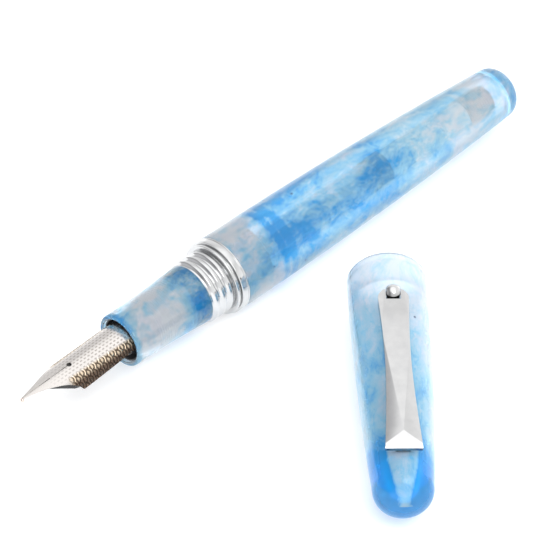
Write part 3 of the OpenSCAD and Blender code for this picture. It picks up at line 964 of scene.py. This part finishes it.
@dataclass
class Bench:
    """Where finished pieces are put together: it names them and puts each on its body."""

    frame: dict
    effects: Effects

    def fit(
        self, mesh: bmesh.types.BMesh, name: str, body: str, nodes: Sequence[str], slot: Slot,
        finish: bpy.types.Material, lay: Lay = PEN_LAY, smooth_to: float = 35.0,
    ) -> None:
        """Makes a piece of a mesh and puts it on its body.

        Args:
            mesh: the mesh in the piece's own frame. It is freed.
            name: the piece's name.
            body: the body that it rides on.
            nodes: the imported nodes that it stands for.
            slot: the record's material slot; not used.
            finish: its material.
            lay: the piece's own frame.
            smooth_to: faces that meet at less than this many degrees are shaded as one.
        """
        mesh.transform(lay.matrix())
        data = bpy.data.meshes.new(name)
        mesh.to_mesh(data)
        mesh.free()
        data.shade_smooth()
        data.set_sharp_from_angle(angle=math.radians(smooth_to))
        data.materials.append(finish)
        piece = bpy.data.objects.new(name, data)
        bpy.context.scene.collection.objects.link(piece)
        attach(piece, body)
        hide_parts(*nodes)
        log.info("%s rides on %s with %d faces", name, body, len(data.polygons))

    def copy_node(self, node: str) -> bmesh.types.BMesh:
        """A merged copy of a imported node's mesh, with flat faces joined.

        Args:
            node: the node's name.

        Returns:
            The copy as a bmesh in the row frame.
        """
        made = bmesh.new()
        made.from_mesh(self.frame["nodes"][node].data)
        bmesh.ops.remove_doubles(made, verts=made.verts, dist=1e-7)
        bmesh.ops.dissolve_limit(made, angle_limit=math.radians(0.5), verts=made.verts, edges=made.edges)
        return made

    def refine(
        self, node: str, name: str, body: str, slot: Slot, finish: bpy.types.Material, width: float = 0.08
    ) -> None:
        """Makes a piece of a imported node's own shape, with its sharp edges rounded.

        Args:
            node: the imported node.
            name: the piece's name.
            body: the body that it rides on.
            slot: the record's material slot.
            finish: its material.
            width: the width of the rounding in millimetres.
        """
        mesh = self.copy_node(node)
        soften(mesh, width)
        self.fit(mesh, name, body, [node], slot, finish)

    def dress(self, node: str, finish: bpy.types.Material) -> None:
        """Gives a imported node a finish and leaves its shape.

        Args:
            node: the node's name.
            finish: its material.
        """
        for slot in self.frame["nodes"][node].material_slots:
            slot.material = finish
        log.info("%s keeps its own shape", node)


# ---- The pen's front ----


@dataclass
class PenFront:
    """Grip, cap thread and trim ring."""

    bench: Bench
    body: str = "pen_front"
    lip_wall: float = 0.8
    nib_bore: float = 4.7
    nib_bore_l: float = 15.5
    groove_from: float = 6.0
    groove_pitch: float = 0.55
    groove_depth: float = 0.14
    spigot_r: float = 5.05
    tank_bore: float = 3.32
    thread_root: float = 6.1
    thread_pitch: float = 1.8
    crest_foot: float = 0.72
    crest_shoulder: float = 0.46
    crest_flat: float = 0.28
    crest_round: float = 0.16
    trim_step: float = 0.35
    trim_groove: float = 0.45

    def grip_profile(self) -> Profile:
        """The grip's half section: from the lip round the outside and back through the bores."""
        low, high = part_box("grip_section")
        lip, end, rear_r = low.x / MM, high.x / MM, high.z / MM
        ring_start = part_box("thread_ring")[0].x / MM
        length = ring_start - lip
        lip_r = self.nib_bore + self.lip_wall
        outside = [
            (lip, self.nib_bore + 0.1), (lip, lip_r - 0.35), (lip + 0.1, lip_r - 0.12), (lip + 0.35, lip_r),
        ]
        steps = 18
        for i in range(1, steps + 1):
            share = i / steps
            swell = (rear_r - lip_r - 0.05) * max(0.0, (share - 0.4) / 0.6) ** 1.2
            outside.append((lip + length * share, lip_r + 0.05 * min(1.0, share * 4) + swell))
        core = [(ring_start, self.spigot_r), (end, self.spigot_r), (end, self.tank_bore)]
        bore_end = lip + self.nib_bore_l
        bore = [(bore_end, self.tank_bore), (bore_end, self.nib_bore)]
        at = bore_end - 1.0
        while at > lip + self.groove_from:
            bore += [
                (at, self.nib_bore),
                (at - self.groove_pitch * 0.35, self.nib_bore + self.groove_depth),
                (at - self.groove_pitch * 0.7, self.nib_bore),
            ]
            at -= self.groove_pitch
        return outside + core + bore + [(lip + 0.1, self.nib_bore)]

    def thread_profile(self) -> Profile:
        """The cap thread's half section, with rounded crests."""
        low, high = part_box("thread_ring")
        start, end, crest = low.x / MM, high.x / MM, high.z / MM
        half = [
            (self.crest_foot, self.thread_root), (self.crest_shoulder, crest - self.crest_round),
            (self.crest_flat, crest),
        ]
        points = [(start, self.spigot_r), (start, self.thread_root)]
        for middle in (-self.thread_pitch, 0.0, self.thread_pitch):
            points += [(middle - away, r) for away, r in half]
            points += [(middle + away, r) for away, r in reversed(half)]
        return points + [(end, self.thread_root), (end, self.spigot_r)]

    def trim_profile(self) -> Profile:
        """The trim ring's half section: a step, a deep groove, the full width and a fine line."""
        low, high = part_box("trim_ring")
        start, end, wide = low.x / MM, high.x / MM, high.z / MM
        step = wide - self.trim_step
        deep, line = step - self.trim_groove, wide - 0.15
        return [
            (start, self.spigot_r), (start, step - 0.1), (start + 0.1, step), (start + 0.55, step),
            (start + 0.6, deep), (start + 0.9, deep), (start + 0.95, wide - 0.1),
            (start + 1.05, wide), (end - 0.5, wide), (end - 0.45, line), (end - 0.3, line),
            (end - 0.25, wide), (end, wide), (end, self.spigot_r),
        ]

    def build(self, resin: bpy.types.Material, polished: bpy.types.Material) -> None:
        """Makes the grip and its rings.

        Args:
            resin: the grip's resin.
            polished: the rings' steel.
        """
        grip = lathe(self.grip_profile())
        soften(grip, 0.06)
        self.bench.fit(grip, "grip", self.body, ["grip_section"], Slot.RESIN, resin)
        thread = lathe(self.thread_profile())
        soften(thread, 0.1, 3, 18.0)
        self.bench.fit(thread, "cap_thread_ring", self.body, ["thread_ring"], Slot.POLISHED, polished)
        trim = lathe(self.trim_profile())
        soften(trim, 0.06, 3)
        self.bench.fit(trim, "trim_band", self.body, ["trim_ring"], Slot.POLISHED, polished)


# ---- Nib ----


@dataclass
class NibSheet:
    """The nib: one rolled sheet with a slit, a breather hole and drawn-in tines.

    Attributes:
        tube_r: radius of the tube that the sheet is rolled to.
        slope: how far that tube tilts, in degrees.
        top_z: height of the crown at the breather hole.
        hole_x: the hole's distance from the point.
        shoulder_x: the shoulders' distance from the point.
        shoulder_w: half the width there.
        rows: steps along the nib.
        columns: steps across it.
    """

    bench: Bench
    body: str = "nib_unit"
    tube_r: float = 4.45
    thickness: float = 0.35
    slope: float = 3.2
    top_z: float = 2.6
    hole_x: float = 11.7
    hole_r: float = 0.5
    shoulder_x: float = 11.5
    shoulder_w: float = 4.3
    point_w: float = 0.22
    heel_l: float = 22.0
    heel_in: float = 0.4
    slit_w: float = 0.12
    rows: int = 170
    columns: int = 56

    def half_width(self, x: float) -> float:
        """Half the nib's width at a distance from its point.

        Args:
            x: millimetres from the point.

        Returns:
            Half the width in millimetres.
        """
        if x < self.shoulder_x:
            s = max(0.0, x / self.shoulder_x)
            return self.point_w + (self.shoulder_w - self.point_w) * (0.55 * s + 0.45 * s**2.2)
        s = (x - self.shoulder_x) / self.heel_l
        return self.shoulder_w - self.heel_in * min(1.0, s) ** 1.5

    def crown_z(self, x: float) -> float:
        """Height of the tube's centre at a distance from the point.

        Args:
            x: millimetres from the point.

        Returns:
            The height in millimetres.
        """
        return self.top_z - self.tube_r + (x - self.hole_x) * math.tan(math.radians(self.slope))

    def build(self, finish: bpy.types.Material) -> None:
        """Makes the nib.

        Args:
            finish: its engraved steel.
        """
        low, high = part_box("nib")
        point, length = low.x / MM, (high.x - low.x) / MM
        made = bmesh.new()
        bmesh.ops.create_grid(made, x_segments=self.rows, y_segments=self.columns, size=1.0)
        for vert in made.verts:
            share = (vert.co.x + 1) / 2
            x = length * share
            v = vert.co.y
            eased = math.copysign(abs(v) ** 1.25, v)
            widest = math.asin(min(0.985, self.half_width(x) / self.tube_r))
            angle = eased * widest
            y = self.tube_r * math.sin(angle)
            z = self.crown_z(x) + self.tube_r * math.cos(angle)
            vert.co = Vector((point + x, y, z)) * MM
        centre = Vector(((point + self.hole_x) * MM, 0.0))
        hole = self.hole_r * MM
        gone = []
        for face in made.faces:
            middle = face.calc_center_median()
            in_hole = (middle.xy - centre).length < hole
            in_slit = middle.x < centre.x and abs(middle.y) < self.slit_w * MM * 0.5
            if in_hole or in_slit:
                gone.append(face)
        bmesh.ops.delete(made, geom=gone, context="FACES")
        for vert in made.verts:
            away = vert.co.xy - centre
            if vert.is_boundary and away.length < hole * 1.45:
                ring = centre + away.normalized() * hole
                vert.co.x, vert.co.y = ring.x, ring.y
        bmesh.ops.recalc_face_normals(made, faces=made.faces)
        if sum(face.normal.z for face in made.faces) < 0:
            bmesh.ops.reverse_faces(made, faces=made.faces)
        bmesh.ops.solidify(made, geom=made.faces[:], thickness=self.thickness * MM)
        self.bench.fit(made, "nib_sheet", self.body, ["nib"], Slot.NIB, finish, smooth_to=50.0)


# ---- Barrel ----


@dataclass
class Barrel:
    """The resin barrel, with the steps of its bore.

    Attributes:
        taper: how much the radius shrinks towards the end.
        dome_l: length of the round end.
        sleeve_r: radius of the seat for the thread sleeve.
        sleeve_end: where that seat ends.
        step_start: where the front bore starts to narrow.
        step_end: where it has narrowed.
        bore_radii: the bore's radius in front, past the step and at the back.
        bore_end: where the bore ends.
    """

    bench: Bench
    body: str = "barrel"
    taper: float = 2.35
    dome_l: float = 3.6
    sleeve_r: float = 7.02
    sleeve_end: float = 12.32
    step_start: float = 15.1
    step_end: float = 18.1
    bore_radii: tuple[float, float, float] = (5.9, 5.1, 4.5)
    bore_end: float = 81.2

    def profile(self) -> Profile:
        """The barrel's half section: outside from the front to the end and back through the bore."""
        low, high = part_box("barrel")
        start, end, wide = low.x / MM, high.x / MM, high.z / MM
        length = end - start
        side_l = length - self.dome_l
        points = [(start, wide - 0.1), (start + 0.1, wide)]
        steps = 30
        for i in range(1, steps + 1):
            d = side_l * i / steps
            inward = self.taper * (max(0.0, d - 2.5) / (length - 5.45)) ** 2
            points.append((start + d, wide - inward))
        neck = points[-1][1]
        for i in range(1, 15):
            t = math.radians(90 * i / 15)
            points.append((end - self.dome_l + self.dome_l * math.sin(t), neck * math.cos(t) ** 0.75))
        points.append((end, 0.0))
        front, middle, back = self.bore_radii
        return points + [
            (self.bore_end, 0.0), (self.bore_end, back - 1.2), (self.bore_end - 0.3, back - 0.6),
            (self.bore_end - 2.0, back), (self.step_end, middle), (self.step_start, front),
            (self.sleeve_end, front), (self.sleeve_end, self.sleeve_r), (start, self.sleeve_r),
        ]

    def build(self, resin: bpy.types.Material) -> None:
        """Makes the barrel.

        Args:
            resin: its resin.
        """
        made = lathe(self.profile())
        soften(made, 0.08)
        self.bench.fit(made, "barrel_shell", self.body, ["barrel"], Slot.RESIN, resin)


# ---- Cap ----


@dataclass
class Cap:
    """The resin cap with its grooved mouth, and the clip.

    Attributes:
        land_r: radius of the mouth's bore.
        land_l: how deep that bore goes.
        cone_end: where the bore has narrowed to the inner cap's seat.
        liner_r: radius of that seat.
        groove_from: the first groove's distance from the mouth.
        inner: the drilled end of the bore, from its tip outwards.
    """

    bench: Bench
    lay: Lay
    body: str = "cap"
    mouth_r: float = 7.78
    length: float = 60.2
    taper: float = 2.0
    dome_l: float = 4.4
    land_r: float = 6.3
    land_l: float = 24.3
    cone_end: float = 30.3
    liner_r: float = 5.2
    groove_from: float = 1.6
    groove_pitch: float = 0.85
    grooves: int = 7
    groove_r: float = 6.7
    inner: tuple[tuple[float, float], ...] = (
        (56.2, 0.0), (55.8, 1.65), (54.7, 2.2), (51.5, 2.2), (51.5, 3.8), (43.5, 5.2),
    )

    def side(self, d: float) -> float:
        """The cap's radius at a distance from its mouth.

        Args:
            d: millimetres from the mouth.

        Returns:
            The radius in millimetres.
        """
        return self.mouth_r - self.taper * (d / (self.length - self.dome_l)) ** 2

    def profile(self) -> Profile:
        """The cap's half section: outside from the mouth to the dome and back through the bores."""
        side_l = self.length - self.dome_l
        points = [(0.0, self.mouth_r - 0.25), (0.25, self.mouth_r)]
        steps = 24
        points += [(side_l * i / steps, self.side(side_l * i / steps)) for i in range(1, steps + 1)]
        neck = points[-1][1]
        for i in range(1, 16):
            t = math.radians(90 * i / 16)
            points.append((side_l + self.dome_l * math.sin(t), neck * math.cos(t) ** 0.8))
        points.append((self.length, 0.0))
        points += list(self.inner)
        points += [(self.cone_end, self.liner_r), (self.land_l, self.land_r)]
        for i in reversed(range(self.grooves)):
            middle = self.groove_from + i * self.groove_pitch
            points += [(middle + 0.35, self.land_r), (middle, self.groove_r), (middle - 0.35, self.land_r)]
        return points + [(0.3, self.land_r), (0.0, self.land_r + 0.3)]

    def build(self, resin: bpy.types.Material, polished: bpy.types.Material) -> None:
        """Makes the cap and the clip.

        Args:
            resin: the cap's resin.
            polished: the clip's steel.
        """
        made = lathe(self.profile())
        soften(made, 0.05)
        self.bench.fit(made, "cap_shell", self.body, ["cap_tube"], Slot.RESIN, resin, self.lay)
        strip = self.bench.copy_node("clip")
        soften(strip, 0.09, 3)
        self.bench.fit(strip, "clip_strip", "clip", ["clip"], Slot.POLISHED, polished, smooth_to=14.0)


# ---- Studio ----


@dataclass
class Studio:
    """A pale floor, a pale sky, one soft lamp and the camera."""

    azimuth: float = -44.63
    elevation: float = 42.556
    aim: tuple[float, float, float] = (12.31, -6.17, 0.51)
    distance: float = 806.06
    lens: float = 280.0
    floor_size: float = 3.0
    sky_strength: float = 1.45
    zenith: float = 1.05
    sides: Stops = (
        (0.0, (1.0, 1.0, 1.0)), (0.5, (0.95, 0.95, 0.95)), (0.68, (0.78, 0.78, 0.79)),
        (0.84, (0.25, 0.25, 0.26)), (1.0, (0.6, 0.6, 0.61)),
    )
    rise: Stops = (
        (0.0, (0.95, 0.95, 0.95)), (0.4, (0.85, 0.85, 0.85)), (0.66, (0.72, 0.72, 0.72)),
        (0.86, (1.0, 1.0, 1.0)),
    )

    def directions(self) -> tuple[Vector, Vector, Vector]:
        """The camera's right, up and forward directions."""
        a, e = math.radians(self.azimuth), math.radians(self.elevation)
        forward = Vector((-math.sin(a) * math.cos(e), math.cos(a) * math.cos(e), -math.sin(e)))
        right = Vector((math.cos(a), math.sin(a), 0.0))
        return right, right.cross(forward), forward

    def place_camera(self) -> None:
        """Makes the camera at the angle that the pen is seen from."""
        right, up, forward = self.directions()
        data = bpy.data.cameras.new("view")
        data.lens = self.lens
        data.sensor_width = 36.0
        data.clip_start, data.clip_end = 0.05, 20.0
        camera = bpy.data.objects.new("view", data)
        spot = (Vector(self.aim) - forward * self.distance) * MM
        turned = Matrix((right, up, -forward)).transposed().to_4x4()
        camera.matrix_world = Matrix.Translation(spot) @ turned
        bpy.context.scene.collection.objects.link(camera)
        bpy.context.scene.camera = camera

    def lay_floor(self) -> None:
        """Makes the floor that the pen and cap lie on."""
        made = bmesh.new()
        bmesh.ops.create_grid(made, x_segments=8, y_segments=8, size=self.floor_size)
        data = bpy.data.meshes.new("floor")
        made.to_mesh(data)
        made.free()
        floor = bpy.data.objects.new("floor", data)
        floor.location.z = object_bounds()[0][2] - 0.02 * MM
        material, sheet, shader = new_material("studio_white")
        shader.inputs["Base Color"].default_value = (0.93, 0.935, 0.94, 1)
        shader.inputs["Roughness"].default_value = 0.9
        shader.inputs["Specular IOR Level"].default_value = 0.1
        shader.inputs["Emission Color"].default_value = (1.0, 1.0, 1.0, 1)
        shader.inputs["Emission Strength"].default_value = 0.33
        data.materials.append(material)
        bpy.context.scene.collection.objects.link(floor)
        floor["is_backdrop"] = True

    def hang_lamp(self, spot: tuple[float, float, float], size: float, power: float) -> None:
        """Hangs a square soft lamp that looks at the pen.

        Args:
            spot: its place in metres.
            size: its width in metres.
            power: its power in watts.
        """
        data = bpy.data.lights.new("key", "AREA")
        data.shape = "SQUARE"
        data.size = size
        data.energy = power
        made = bpy.data.objects.new("key", data)
        place = Vector(spot)
        facing = (Vector(self.aim) * MM - place).to_track_quat("-Z", "Y")
        made.matrix_world = Matrix.Translation(place) @ facing.to_matrix().to_4x4()
        bpy.context.scene.collection.objects.link(made)

    def paint_sky(self) -> None:
        """Makes a pale sky that is darker half way up and on one side, and even overhead."""
        world = bpy.data.worlds.new("studio")
        bpy.context.scene.world = world
        world.use_nodes = True
        sheet = Sheet(world.node_tree)
        way = sheet.node("ShaderNodeTexCoord").outputs["Generated"]
        height = sheet.node("ShaderNodeSeparateXYZ", {0: way}).outputs[2]
        left = -self.directions()[0]
        left_share = sheet.vector("DOT_PRODUCT", way, left).node.outputs["Value"]
        sides = sheet.ramp(sheet.spread(left_share, -1.0, 1.0), self.sides)
        low = sheet.blend(1.0, sheet.ramp(height, self.rise), sides, "MULTIPLY")
        sky = sheet.blend(sheet.spread(height, 0.7, 0.92), low, (self.zenith,) * 3)
        back = world.node_tree.nodes["Background"]
        world.node_tree.links.new(sky, back.inputs["Color"])
        back.inputs["Strength"].default_value = self.sky_strength

    def build(self) -> None:
        """Sets up the whole studio."""
        self.lay_floor()
        self.paint_sky()
        self.hang_lamp((-0.15, -0.6, 0.85), size=0.6, power=3.0)
        self.place_camera()
        bpy.context.scene.view_settings.view_transform = "Standard"


# ---- All together ----


def resins(effects: Effects, cap: Lay) -> dict[str, bpy.types.Material]:
    """Makes the three resins, each with its dye laid along its own piece.

    Args:
        effects: the shared node groups.
        cap: the cap's lay.

    Returns:
        The materials by name.
    """
    kinds = (
        MarbledResin(
            "grip_resin", PEN_LAY, -22.0, 12.0,
            ((-22.0, 0.75), (-20.9, 0.65), (-20.3, 0.25), (-13.0, 0.3), (-9.0, 0.5), (-4.0, 0.85),
             (12.0, 0.5)),
            bore_span=(-22.0, -6.0), bore_limits=(4.85, 4.85), cloud_size=5.0,
        ),
        MarbledResin(
            "barrel_resin", PEN_LAY, 5.0, 85.0,
            ((5.0, 0.15), (13.0, 0.15), (14.4, 0.45), (15.2, 1.1), (16.1, 1.0), (16.6, 0.65), (17.2, 1.2),
             (18.3, 1.1), (19.0, 0.52), (30.0, 0.52), (45.0, 0.46), (70.0, 0.42), (79.0, 0.25), (81.4, 0.5),
             (85.0, 0.5)),
            bore_span=(14.0, 81.4), bore_limits=(6.4, 4.9),
        ),
        MarbledResin(
            "cap_resin", cap, 0.0, 60.2,
            ((0.0, 0.02), (8.0, 0.1), (14.0, 0.26), (36.0, 0.36), (46.0, 0.42), (50.5, 0.9), (53.0, 1.15),
             (60.2, 1.2)),
            bore_span=(0.0, 57.0), bore_limits=(7.3, 5.2), bore_rough=0.25,
            pale=(0.80, 0.89, 0.99), haze=(0.84, 0.87, 0.97), deep=(0.01, 0.38, 0.94),
            # The pale oval here is painted light on the upper side of the dome.
            cloud_size=8.0, contrast=1.15, clearness=0.66, painted_light_oval=(51.0, 11.0, 3.0),
        ),
    )
    return {kind.name: kind.make(effects) for kind in kinds}


def metals(effects: Effects, clip: Lay) -> dict[str, bpy.types.Material]:
    """Makes the plain metals.

    Args:
        effects: the shared node groups.
        clip: the clip's lay.

    Returns:
        The materials by name.
    """
    kinds = (
        Metal("polished_steel", (0.64, 0.645, 0.65), (0.58, 0.585, 0.59), (0.08, 0.16), ring_depth=0.0012),
        # clip_steel's dark side colour is painted shade on the clip's side faces.
        Metal(
            "clip_steel", (0.68, 0.68, 0.68), (0.62, 0.62, 0.625), (0.08, 0.15), clip, side=(0.3, 0.3, 0.3)
        ),
        Metal("dark_steel", (0.10, 0.10, 0.10), (0.06, 0.06, 0.06), (0.3, 0.5)),
        Metal("tip_metal", (0.78, 0.66, 0.60), (0.7, 0.58, 0.52), (0.2, 0.3)),
        Metal("turned_steel", (0.24, 0.24, 0.26), (0.15, 0.15, 0.17), (0.08, 0.18), ring_depth=0.01),
        Metal("satin_sleeve", (0.68, 0.64, 0.60), (0.55, 0.52, 0.50), (0.25, 0.4), ring_depth=0.006),
        Metal("turned_brass", (0.75, 0.55, 0.28), (0.6, 0.42, 0.2), (0.2, 0.35), ring_depth=0.01),
    )
    return {kind.name: kind.make(effects) for kind in kinds}


def plastics(effects: Effects) -> dict[str, bpy.types.Material]:
    """Makes the plastics and rubbers.

    Args:
        effects: the shared node groups.

    Returns:
        The materials by name.
    """
    kinds = (
        Plastic("black_plastic", (0.012, 0.012, 0.013), (0.03, 0.03, 0.032), (0.25, 0.42)),
        Plastic("housing_plastic", (0.07, 0.07, 0.073), (0.11, 0.11, 0.115), (0.2, 0.32)),
        Plastic("knob_plastic", (0.10, 0.10, 0.105), (0.16, 0.16, 0.165), (0.25, 0.45)),
        Plastic("clear_plastic", (0.78, 0.84, 0.88), (0.72, 0.79, 0.84), (0.03, 0.1), clearness=0.88),
        Plastic(
            "frosted_liner", (0.97, 0.985, 1.0), (0.95, 0.975, 1.0), (0.12, 0.22), clearness=0.97, ior=1.04
        ),
        Plastic("seal_rubber", (0.02, 0.02, 0.02), (0.05, 0.05, 0.05), (0.6, 0.8)),
        Plastic("pale_silicone", (0.72, 0.76, 0.80), (0.62, 0.66, 0.70), (0.4, 0.55), clearness=0.4),
        Plastic("rod_plastic", (0.80, 0.84, 0.88), (0.72, 0.76, 0.80), (0.15, 0.3), clearness=0.6),
    )
    return {kind.name: kind.make(effects) for kind in kinds}


DRESSED = {
    "barrel_tenon": "turned_steel",
    "tenon_o_ring": "seal_rubber",
    "converter_tank": "clear_plastic",
    "converter_collar": "black_plastic",
    "converter_sleeve": "satin_sleeve",
    "nib_tip": "tip_metal",
    "barrel_insert": "turned_steel",
    "converter_knob": "knob_plastic",
    "drive_spindle": "turned_brass",
    "piston_rod": "rod_plastic",
    "piston_seal": "pale_silicone",
    "inner_cap": "frosted_liner",
    "clip_pivot_pin": "turned_steel",
    "roller_pin": "turned_steel",
}


def main() -> None:
    """Builds every piece in order."""
    logging.basicConfig(level=logging.INFO, format="%(name)s: %(message)s")
    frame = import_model()
    bench = Bench(frame, Effects())
    cap = cap_lay(frame)
    finish = (
        resins(bench.effects, cap) | metals(bench.effects, clip_lay(frame, cap)) | plastics(bench.effects)
    )

    PenFront(bench).build(finish["grip_resin"], finish["polished_steel"])
    NibSheet(bench).build(EngravedSteel().make(bench.effects))
    Barrel(bench).build(finish["barrel_resin"])
    Cap(bench, cap).build(finish["cap_resin"], finish["clip_steel"])
    bench.refine("nib_housing", "nib_housing_round", "nib_collar", Slot.BLACK, finish["housing_plastic"])
    bench.refine("feed", "feed_block", "nib_unit", Slot.BLACK, finish["black_plastic"])
    bench.refine("clip_roller", "roller", "roller", Slot.POLISHED, finish["clip_steel"])
    bench.refine("clip_anchor", "clip_block", "cap", Slot.TURNED, finish["dark_steel"])
    for node, name in DRESSED.items():
        bench.dress(node, finish[name])
    Studio().build()


if __name__ == "__main__":
    main()
